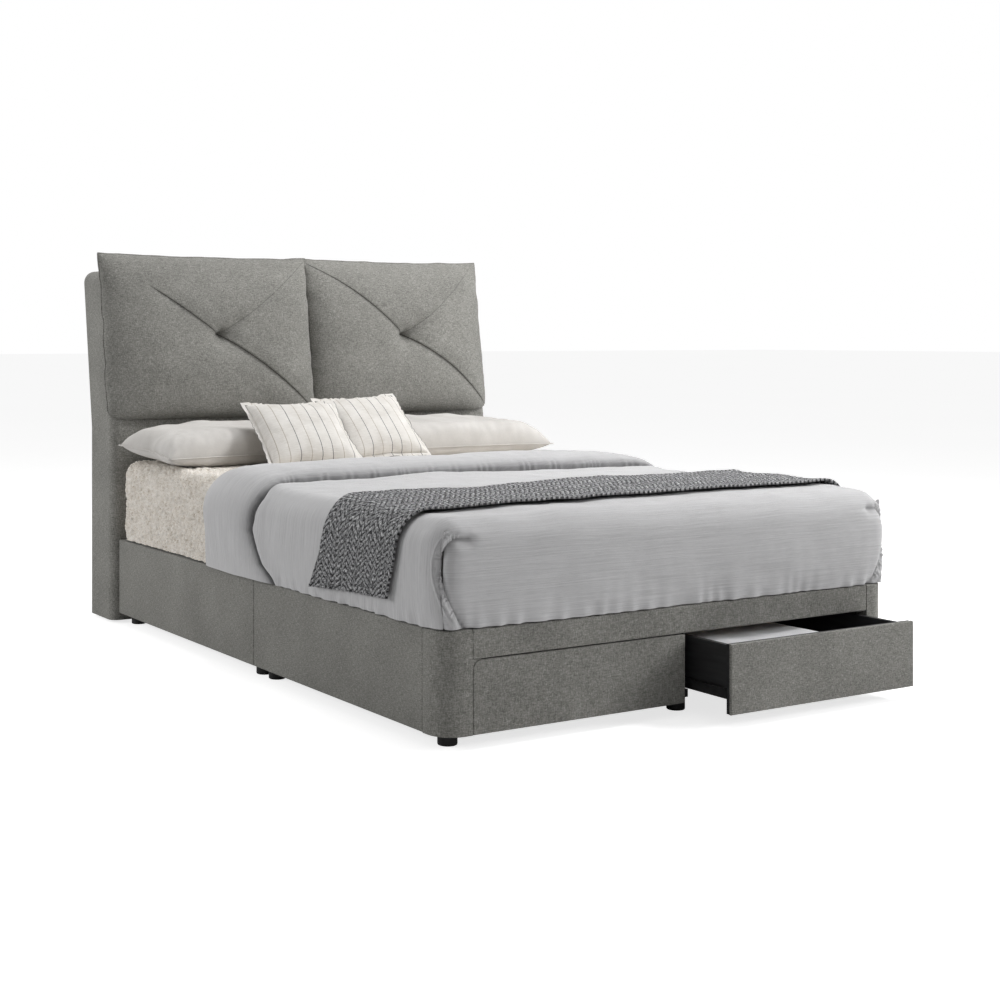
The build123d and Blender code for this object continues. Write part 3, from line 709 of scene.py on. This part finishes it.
# the painted shade for the fold and the seam trenches, read by the duvet material
duvet.data.attributes.new("crease", "FLOAT", "POINT").data.foreach_set("value", dark)
merge(duvet, 0.0008)
body_tree = BVHTree.FromPolygons([v.co.copy() for v in duvet.data.vertices],
                                 [tuple(p.vertices) for p in duvet.data.polygons])
subdivide(duvet)
dress(duvet, "grey_duvet", replaces=["duvet"])


def gathers(side):
    """The side panel's edge, drawn up in small gathers round the corner of the foot."""
    c0, z0 = np.array(SEAM)[:, 0], np.array(SEAM)[:, 1]
    length = np.concatenate([[0], np.cumsum(np.hypot(np.diff(c0), np.diff(z0)))])
    rows, cols = 300, 18
    ts = np.linspace(0.012, length[-1], rows)
    knots = np.linspace(0, length[-1], 60)

    def smoothed(values):
        """The seam's values at ts, with the corners between its points rounded off."""
        padded = np.pad(np.interp(knots, length, values), 3, "edge")
        return np.interp(ts, knots, np.convolve(padded, np.ones(7) / 7, "valid"))

    smooth_c, smooth_z = smoothed(c0), smoothed(z0)
    verts, uvs = [], []
    for i, t in enumerate(ts):
        k0, k1 = max(0, i - 1), min(rows - 1, i + 1)
        tc, tz = smooth_c[k1] - smooth_c[k0], smooth_z[k1] - smooth_z[k0]
        size = math.hypot(tc, tz) or 1
        nc, nz = tz / size, -tc / size
        ends = max(0.0, min(1, (t - 0.012) / 0.04, (length[-1] - t) / 0.14))
        beat = noise.noise(Vector((t * 38, side * 3.0, 0.5)))
        for j in range(cols):
            u = j / (cols - 1)
            w = -0.003 + 0.034 * u
            fold = math.sin(t * 2 * math.pi / 0.0220 + 6.5 * beat + 2.2 * u)
            if u < 0.66:
                rise = max(0.0, math.sin(math.pi * min(1, u * 1.35 + 0.12) ** 0.75))
            else:
                rise = max(0.0, 1 - u) * 1.6
            h = (0.0060 + 0.0024 * fold * (1 - u)) * min(1, rise) * ends
            h -= 0.0020 * (u > 0.97) + 0.0050 * (u < 0.03)
            w += 0.0012 * fold * math.exp(-u / 0.25) * ends
            c, z = smooth_c[i] + nc * w, max(smooth_z[i] + nz * w, HEM + 0.004)
            r = ROUND
            if abs(c) < r:
                a = math.acos(max(-1, min(1, c / (r * math.sqrt(2))))) - math.pi / 4
                p = Vector((DUVET_HALF - r * (1 - math.cos(a)), DUVET_FRONT + r * (1 - math.sin(a)), z))
                n = Vector((math.cos(a), -math.sin(a), 0))
            elif c > 0:
                p, n = Vector((DUVET_HALF, DUVET_FRONT + c, z)), Vector((1, 0, 0))
            else:
                p, n = Vector((DUVET_HALF + c, DUVET_FRONT, z)), Vector((0, -1, 0))
            p.x *= side
            n.x *= side
            if z > TOP - r:
                n = (n + Vector((0, 0, min(0.9, (z - TOP + r) / r)))).normalized()
            hit = body_tree.ray_cast(p + n * 0.06, -n, 0.14)
            base = hit[0] if hit[0] is not None else p
            verts.append(base + n * (h + 0.0008 * ends - 0.0015 * (1 - ends)))
            uvs.append((t, 0.5 + w))
    name = "left" if side < 0 else "right"
    obj = link_mesh(f"duvet_gathers_{name}", verts, grid_faces(rows, cols), uvs)
    dress(obj, "grey_duvet")


gathers(-1)
gathers(1)


def over_path(s, half, top, r, bottom):
    """Point, normal and full length of the way over the bed, s from 0 at the left hem to 1 at the right."""
    side = top - r - bottom
    arc = math.pi * r / 2
    flat = 2 * (half - r)
    total = 2 * side + 2 * arc + flat
    d = s * total
    if d < side:
        return (-half, bottom + d), (-1, 0), total
    d -= side
    if d < arc:
        a = d / r
        return (-half + r - r * math.cos(a), top - r + r * math.sin(a)), (-math.cos(a), math.sin(a)), total
    d -= arc
    if d < flat:
        return (-half + r + d, top), (0, 1), total
    d -= flat
    if d < arc:
        a = d / r
        return (half - r + r * math.sin(a), top - r + r * math.cos(a)), (math.sin(a), math.cos(a)), total
    d -= arc
    return (half, top - r - d), (1, 0), total


def interp(x, xs, ys):
    return float(np.interp(x, xs, ys))


def fold_front(s, total):
    """Y of the turned-back band's front edge: it swings towards the foot down each side."""
    d = min(s, 1 - s) * total
    return FOOT + interp(d, FOLD_D, FOLD_Y)


# The turned-back roll in section: its front edge overhangs the duvet, so a dark crease runs under it.
BAND_T = [0.00, 0.07, 0.14, 0.21, 0.28, 0.36, 0.46, 0.60, 0.74, 0.84, 0.92, 1.00]
BAND_ACROSS = [0.026, 0.008, 0.000, 0.006, 0.034, 0.100, 0.240, 0.480, 0.760, 0.920, 0.985, 1.000]
BAND_LIFT = [-0.90, -0.50, -0.05, 0.34, 0.60, 0.80, 0.94, 1.02, 0.96, 0.74, 0.40, -0.15]


def fold_band():
    """The duvet's head end turned back over itself: a thick soft roll across the bed and down both sides."""
    rows, cols = 420, 44
    pts, uvs, dark = [], [], []
    for i in range(rows):
        s = i / (rows - 1)
        (x, z), (nx, nz), total = over_path(s, DUVET_HALF - 0.002, TOP - 0.002, 0.105, HEM)
        d = min(s, 1 - s) * total
        front, back = fold_front(s, total), FOLD_END - 0.004 * math.sin(s * 40)
        rise = interp(d, [0, 0.06, 0.20, 0.40, 0.80], [0.022, 0.028, 0.036, 0.048, 0.056])
        for j in range(cols):
            t = j / (cols - 1)
            across, lift = interp(t, BAND_T, BAND_ACROSS), interp(t, BAND_T, BAND_LIFT)
            y = front + across * (back - front)
            wave = noise.fractal(Vector((s * total * 3, y * 5, 3.7)), 1.0, 2.0, 3) * 0.006
            wave += noise.fractal(Vector((s * total * 14, y * 9, 9.1)), 1.0, 2.0, 2) * 0.0022
            wander = 16 * noise.noise(Vector((s * 30, across * 6, 0)))
            crinkle = math.exp(-across / 0.09) * math.sin(s * total * 170 + wander)
            wander = 14 * noise.noise(Vector((s * 24, 5, 0)))
            y += 0.0020 * math.exp(-across / 0.05) * math.sin(s * total * 150 + wander)
            n = rise * lift + wave * max(0, lift) + crinkle * 0.0008 * max(0, lift)
            pts.append((x + nx * n, y, z + nz * n))
            uvs.append((s * total, y))
            # painted shade on the band's nose and the lip turned under it, darkest at its front edge
            dark.append(0.42 * math.exp(-across / 0.12) + 0.5 * math.exp(-across / 0.02))
    obj = link_mesh("duvet_turned_back", pts, grid_faces(rows, cols), uvs)
    obj.data.attributes.new("crease", "FLOAT", "POINT").data.foreach_set("value", dark)
    merge(obj, 0.0002)
    return obj


band = fold_band()
dress(band, "grey_duvet")


# ---- Throw --------------------------------------------------------------------------
def throw_sheet():
    """Knitted throw laid across the bed over the duvet and hanging a little way down both sides."""
    rows, cols = 560, 124
    hem_height = 0.350
    half, top, r = DUVET_HALF, TOP, 0.085
    total = over_path(0, half, top, r, hem_height)[2]
    # its long edges, as distances behind the foot, against the way from the left hem
    edge_at = [0.0, 0.10, 0.18, 0.26, 0.45, 2.0]
    rear_edge = [0.632, 0.580, 0.558, 0.572, 0.592, 0.592]
    fore_edge = [0.226, 0.196, 0.180, 0.172, 0.170, 0.184]
    verts, uvs = [], []
    for i in range(rows):
        s = i / (rows - 1)
        d = s * total
        rear = FOOT + interp(d, edge_at, rear_edge)
        fore = FOOT + interp(d, edge_at, fore_edge)
        for j in range(cols):
            t = j / (cols - 1)
            y = fore + t * (rear - fore)
            hem_shift = -0.010 * (1 - 2 * t) * max(0, 1 - d / 0.2)
            (x, z), (nx, nz), _ = over_path(s, half, top, r, hem_height)
            z -= hem_shift if nx < -0.5 else 0
            probe = Vector((x + nx * 0.12, y, z + nz * 0.12))
            hit = body_tree.ray_cast(probe, Vector((-nx, 0, -nz)), 0.4)
            base = hit[0] if hit[0] is not None else Vector((x, y, z))
            roll = math.exp(-min(t, 1 - t) / 0.035)
            sag = noise.fractal(Vector((d * 5, y * 6, 1.3)), 1.0, 2.0, 3) * 0.003
            lift = 0.0065 + 0.0045 * roll + sag * 0.6
            ribs = 0.5 - 0.5 * math.cos(2 * math.pi * (y - fore) * 31)
            hem = max(math.exp(-d / 0.035), math.exp(-(total - d) / 0.035))
            lift += 0.0026 * ribs * (1 - hem) + 0.0060 * ribs * hem
            verts.append((base.x + nx * lift, y, base.z + nz * lift))
            uvs.append((y - fore, d))
    obj = link_mesh("throw_knit", verts, grid_faces(rows, cols), uvs)
    mod = obj.modifiers.new("thick", "SOLIDIFY")
    mod.thickness = 0.006
    mod.offset = -1
    bake(obj)
    return obj, total


throw, throw_length = throw_sheet()
dress(throw, "charcoal_knit", replaces=["throw_blanket"])


# ---- Protector ----------------------------------------------------------------------
def fleece():
    """Curly fleece over the mattress: a rounded shell, lumpy all over with small soft curls."""
    hx, zt, zb = 0.792, 0.586, RAIL_TOP + 0.006
    y_front, y_back = FOOT + 1.30, FOOT + 2.130
    cell = 0.0050
    r = 0.048
    xs = np.linspace(-hx, hx, int(2 * hx / cell))
    ys = np.linspace(y_front, y_back, int((y_back - y_front) / cell))
    zs = np.linspace(zb, zt, int((zt - zb) / cell))
    P, faces, _, _ = open_box(xs, ys, zs, y_back, True)
    P, normal = rounded(P, r, (-(hx - r), -np.inf, -np.inf), (hx - r, y_back - r, zt - r))
    x, y, z = P.T
    lump = fbm(x, y, z, 9, 2, 32) * 0.004 + fbm(x, y, z, 30, 2, 31) * 0.006
    curls = 1 - 2.6 * np.abs(fbm(x, y, z, 88, 2, 33))
    P = P + normal * (lump * 0.7 + 0.0070 * curls)[:, None]
    base = link_mesh("protector_fleece", P, faces)
    merge(base, 0.0008)
    dress(base, "cream_fleece", replaces=["mattress_protector"])


fleece()


# ---- Pillows --------------------------------------------------------------------------
def stuffed(name, width, depth, pressure, seed, cell=0.014, frames=16):
    """A sewn bag of two flat panels blown up by a short cloth simulation; returns it and its flat cut."""
    nx, ny = int(width / cell), int(depth / cell)
    xs, ys = np.linspace(-width / 2, width / 2, nx + 1), np.linspace(-depth / 2, depth / 2, ny + 1)
    X, Y = np.meshgrid(xs, ys)
    flat = np.stack([X.ravel(), Y.ravel()], -1)
    inner = np.minimum(width / 2 - np.abs(flat[:, 0]), depth / 2 - np.abs(flat[:, 1]))
    lift = 0.010 * np.clip(inner / 0.05, 0, 1)
    lift = lift + 0.0015 * fbm(flat[:, 0], flat[:, 1], flat[:, 0] * 0, 22, 2, seed)
    lift = np.where(inner < 1e-6, 0, lift)
    top = np.column_stack([flat, lift])
    bottom = np.column_stack([flat, -lift])
    faces = grid_faces(ny + 1, nx + 1)
    under = [tuple(i + len(flat) for i in reversed(f)) for f in faces]
    obj = link_mesh(name, np.concatenate([top, bottom]), faces + under, np.concatenate([flat, flat]))
    merge(obj, 0.0005)
    cut, _ = mesh_arrays(obj)
    cut = cut.copy()
    bpy.context.view_layer.objects.active = obj
    mod = obj.modifiers.new("cloth", "CLOTH")
    s = mod.settings
    s.quality = 5
    s.mass = 0.25
    s.tension_stiffness = s.compression_stiffness = 18
    s.shear_stiffness = 6
    s.bending_stiffness = 0.35
    s.use_pressure = True
    s.uniform_pressure_force = pressure
    s.effector_weights.gravity = 0
    scene = bpy.context.scene
    mod.point_cache.frame_start, mod.point_cache.frame_end = 1, frames
    for f in range(1, frames + 1):
        scene.frame_set(f)
    bake(obj)
    scene.frame_set(1)
    return obj, cut


def settle(obj, cut, size, up_share, tidy, power=4.0, pull=0.03):
    """Size the blown-up bag, and draw it part of the way (tidy) to a smooth crowned form; z 0 is its seam."""
    co, _ = mesh_arrays(obj)
    span = co.max(axis=0) - co.min(axis=0)
    co = (co - (co.max(axis=0) + co.min(axis=0)) / 2) * (np.array(size) / span)
    a = cut[:, 0] / np.abs(cut[:, 0]).max()
    b = cut[:, 1] / np.abs(cut[:, 1]).max()
    top = np.sign(np.where(np.abs(cut[:, 2]) < 1e-6, 0, cut[:, 2]))
    crown = np.clip((1 - np.abs(a) ** power) * (1 - np.abs(b) ** power), 0, 1) ** 0.52
    ideal = np.stack([a * size[0] / 2 * (1 - pull * (1 - b ** 2)),
                      b * size[1] / 2 * (1 - 1.4 * pull * (1 - a ** 2)),
                      top * crown * size[2] / 2], -1)
    co = co * (1 - tidy) + ideal * tidy
    co[:, 2] *= np.where(co[:, 2] > 0, 2 * up_share, 2 * (1 - up_share))
    return co


def seam_loop(cut):
    """Indices round the seam, in order."""
    rim = np.where(np.abs(cut[:, 2]) < 1e-6)[0]
    half = np.abs(cut).max(axis=0)
    rim = [i for i in rim if abs(abs(cut[i, 0]) - half[0]) < 1e-5 or abs(abs(cut[i, 1]) - half[1]) < 1e-5]
    return sorted(rim, key=lambda i: math.atan2(cut[i, 1], cut[i, 0]))


def turned(co, move, tilt=0.0, turn=0.0, tip=0.0):
    """Tip about Y, tilt about X, turn about Z, then move."""
    c, s = math.cos(tip), math.sin(tip)
    co = co @ np.array([[c, 0, s], [0, 1, 0], [-s, 0, c]]).T
    c, s = math.cos(tilt), math.sin(tilt)
    co = co @ np.array([[1, 0, 0], [0, c, -s], [0, s, c]]).T
    c, s = math.cos(turn), math.sin(turn)
    co = co @ np.array([[c, -s, 0], [s, c, 0], [0, 0, 1]]).T
    return co + np.array(move)


def bed_pillow(side, centre_x, seed):
    """Plump bed pillow with a corded seam, pleated along its front and ends."""
    name = "left" if side < 0 else "right"
    obj, cut = stuffed(f"pillow_soft_{name}", 0.74, 0.50, 2.6, seed)
    co = settle(obj, cut, (0.790, 0.425, 0.225), 0.66, 0.78)
    a, b = cut[:, 0] / 0.37, cut[:, 1] / 0.25
    from_front, from_end = 0.21 * (1 + b), 0.39 * (1 - np.abs(a))
    x, y, z = co.T
    pleat = np.exp(-from_front / 0.060) * np.sin(x * 150 + 6 * fbm(x, y, z, 9, 2, seed + 1))
    pleat += 0.7 * np.exp(-from_end / 0.050) * np.sin(y * 140 + 6 * fbm(x, y, z, 8, 2, seed + 2))
    soft = fbm(x, y, z, 7, 3, seed + 3)
    free = smoothstep(0.0, 0.02, np.minimum(from_front, from_end)) * (cut[:, 2] > 0)
    co[:, 2] += (0.0052 * pleat + 0.009 * soft) * free
    rim = seam_loop(cut)
    co[:, 2] = np.maximum(co[:, 2], -0.052)
    co = turned(co, (centre_x, FOOT + 1.880, 0.640), tilt=math.radians(3.5), turn=math.radians(-1.5 * side))
    welt = tube(f"pillow_welt_{name}", co[rim], 0.0022, 6, True)
    set_coords(obj, co)
    subdivide(obj)
    dress(obj, "pale_pillow", replaces=[f"pillow_{name}"])
    dress(welt, "pale_pillow")


bed_pillow(-1, -0.428, 41)
bed_pillow(1, 0.412, 42)


def scatter(side, centre, size, tilt, turn, tip, seed):
    """Small square cushion with a flat flange beyond its seam, leaning back on a pillow."""
    name = "left" if side < 0 else "right"
    flange_width = 0.014
    obj, cut = stuffed(f"striped_cushion_soft_{name}", 0.36, 0.32, 2.6, seed, cell=0.0095)
    within = (size[0] - 2 * flange_width, size[1] - 2 * flange_width, 0.092)
    co = settle(obj, cut, within, 0.55, 0.62, 3.4, 0.025)
    rim = seam_loop(cut)
    loop = co[rim]
    sign = np.sign(cut[rim][:, :2])
    half = np.abs(cut).max(axis=0)[:2]
    reach = np.abs(cut[rim][:, :2]) > half - 1e-5
    outward = np.column_stack([sign * reach, np.zeros(len(rim))])
    shares = (0.0, 0.34, 0.67, 1.0)
    count = np.arange(len(rim))
    steps = []
    for share in shares:
        wave = 0.0030 * share * np.sin(count * 1.7 + 3 * np.sin(count * 0.37 + seed))
        steps.append(loop + outward * flange_width * share + np.column_stack([wave * 0, wave * 0, wave]))
    ring = np.concatenate(steps)
    uv = np.concatenate([cut[rim][:, :2] + sign * reach * flange_width * share for share in shares])
    pose = dict(move=centre, tilt=tilt, turn=turn, tip=tip)
    flange = link_mesh(f"striped_cushion_flange_{name}", turned(ring, **pose),
                       grid_faces(4, len(rim), close_cols=True), uv)
    set_coords(obj, turned(co, **pose))
    subdivide(obj)
    dress(obj, "striped_cotton", replaces=[f"striped_cushion_{name}"])
    dress(flange, "striped_cotton")


scatter(-1, (-0.322, FOOT + 1.622, 0.703), (0.375, 0.335),
        tilt=math.radians(40), turn=math.radians(-2), tip=0.0, seed=51)
scatter(1, (-0.005, FOOT + 1.690, 0.714), (0.365, 0.335),
        tilt=math.radians(41), turn=math.radians(3), tip=math.radians(-3), seed=52)


def stored_pillow():
    """White pillow lying flat in the open drawer; it moves with the drawer."""
    stored, cut = stuffed("stored_pillow_soft", 0.46, 0.50, 2.6, 61)
    co = settle(stored, cut, (0.455, 0.520, 0.185), 0.62, 0.86, 9.0, 0.0)
    flat_below_seam = -0.028
    co[:, 2] = np.maximum(co[:, 2], flat_below_seam)
    set_coords(stored, turned(co, (0.274, FOOT + 0.100, 0.1125)))
    subdivide(stored)
    dress(stored, "white_cotton", body="drawer_right", replaces=["stored_pillow"])


stored_pillow()


# ---- Stage ----------------------------------------------------------------------------
def stage():
    """Pale floor, a surround that the camera sees as white, and soft studio lights."""
    reach = 90
    corners = [(-reach, -reach, 0), (reach, -reach, 0), (reach, reach, 0), (-reach, reach, 0)]
    floor = link_mesh("floor", corners, [(0, 1, 2, 3)])
    n = Nodes("studio_floor")
    cloud = n.noise(n.coords(), 0.4, 2.0)
    colour = n.ramp(cloud, [(0.3, (0.74, 0.74, 0.74)), (0.7, (0.76, 0.76, 0.76))])
    path = n.tree.nodes.new("ShaderNodeLightPath")
    n.shader.inputs["Emission Color"].default_value = (1, 1, 1, 1)
    n.link(n.math("MULTIPLY", path.outputs["Is Camera Ray"], 0.74), n.shader.inputs["Emission Strength"])
    floor.data.materials.append(n.finish(colour, 0.9, specular=0.1))

    world = bpy.data.worlds.new("studio")
    bpy.context.scene.world = world
    world.use_nodes = True
    tree = world.node_tree
    back = tree.nodes["Background"]
    back.inputs[0].default_value = (1, 1, 1, 1)
    path = tree.nodes.new("ShaderNodeLightPath")
    level = tree.nodes.new("ShaderNodeMapRange")
    level.inputs["To Min"].default_value = 0.26
    level.inputs["To Max"].default_value = 1.0
    tree.links.new(path.outputs["Is Camera Ray"], level.inputs["Value"])
    tree.links.new(level.outputs[0], back.inputs[1])

    def area(name, place, look, size, power):
        """Rectangular light at place, aimed at look; size in metres, power in watts."""
        light = bpy.data.lights.new(name, "AREA")
        light.shape = "RECTANGLE"
        light.size, light.size_y = size
        light.energy = power
        obj = bpy.data.objects.new(name, light)
        obj.location = place
        obj.rotation_euler = (Vector(look) - Vector(place)).to_track_quat("-Z", "Y").to_euler()
        bpy.context.scene.collection.objects.link(obj)

    area("light_left", (-5.2, 3.0, 2.2), (0, 0.2, 0.5), (2.2, 1.8), 112)
    area("light_front_right", (4.2, -4.4, 2.4), (0.2, -0.4, 0.5), (2.0, 1.6), 130)
    area("light_top", (0.2, 0.6, 4.6), (0, 0.1, 0.5), (2.2, 2.2), 90)
    area("light_key", (2.6, -1.2, 2.9), (0.4, 1.1, 1.1), (0.9, 0.9), 76)


def view_camera():
    """Level camera at the front left, shifted so that the uprights stay upright."""
    camera = bpy.data.cameras.new("camera")
    camera.lens = 57.748
    camera.sensor_width = 36
    camera.shift_x = 0.125
    camera.shift_y = -0.1633
    obj = bpy.data.objects.new("camera", camera)
    obj.location = (-2.9922, -4.4246, 1.0429)
    obj.rotation_euler = (math.radians(90), 0, math.radians(-30.802))
    bpy.context.scene.collection.objects.link(obj)
    bpy.context.scene.camera = obj
    bpy.context.scene.view_settings.view_transform = "Standard"


stage()
view_camera()
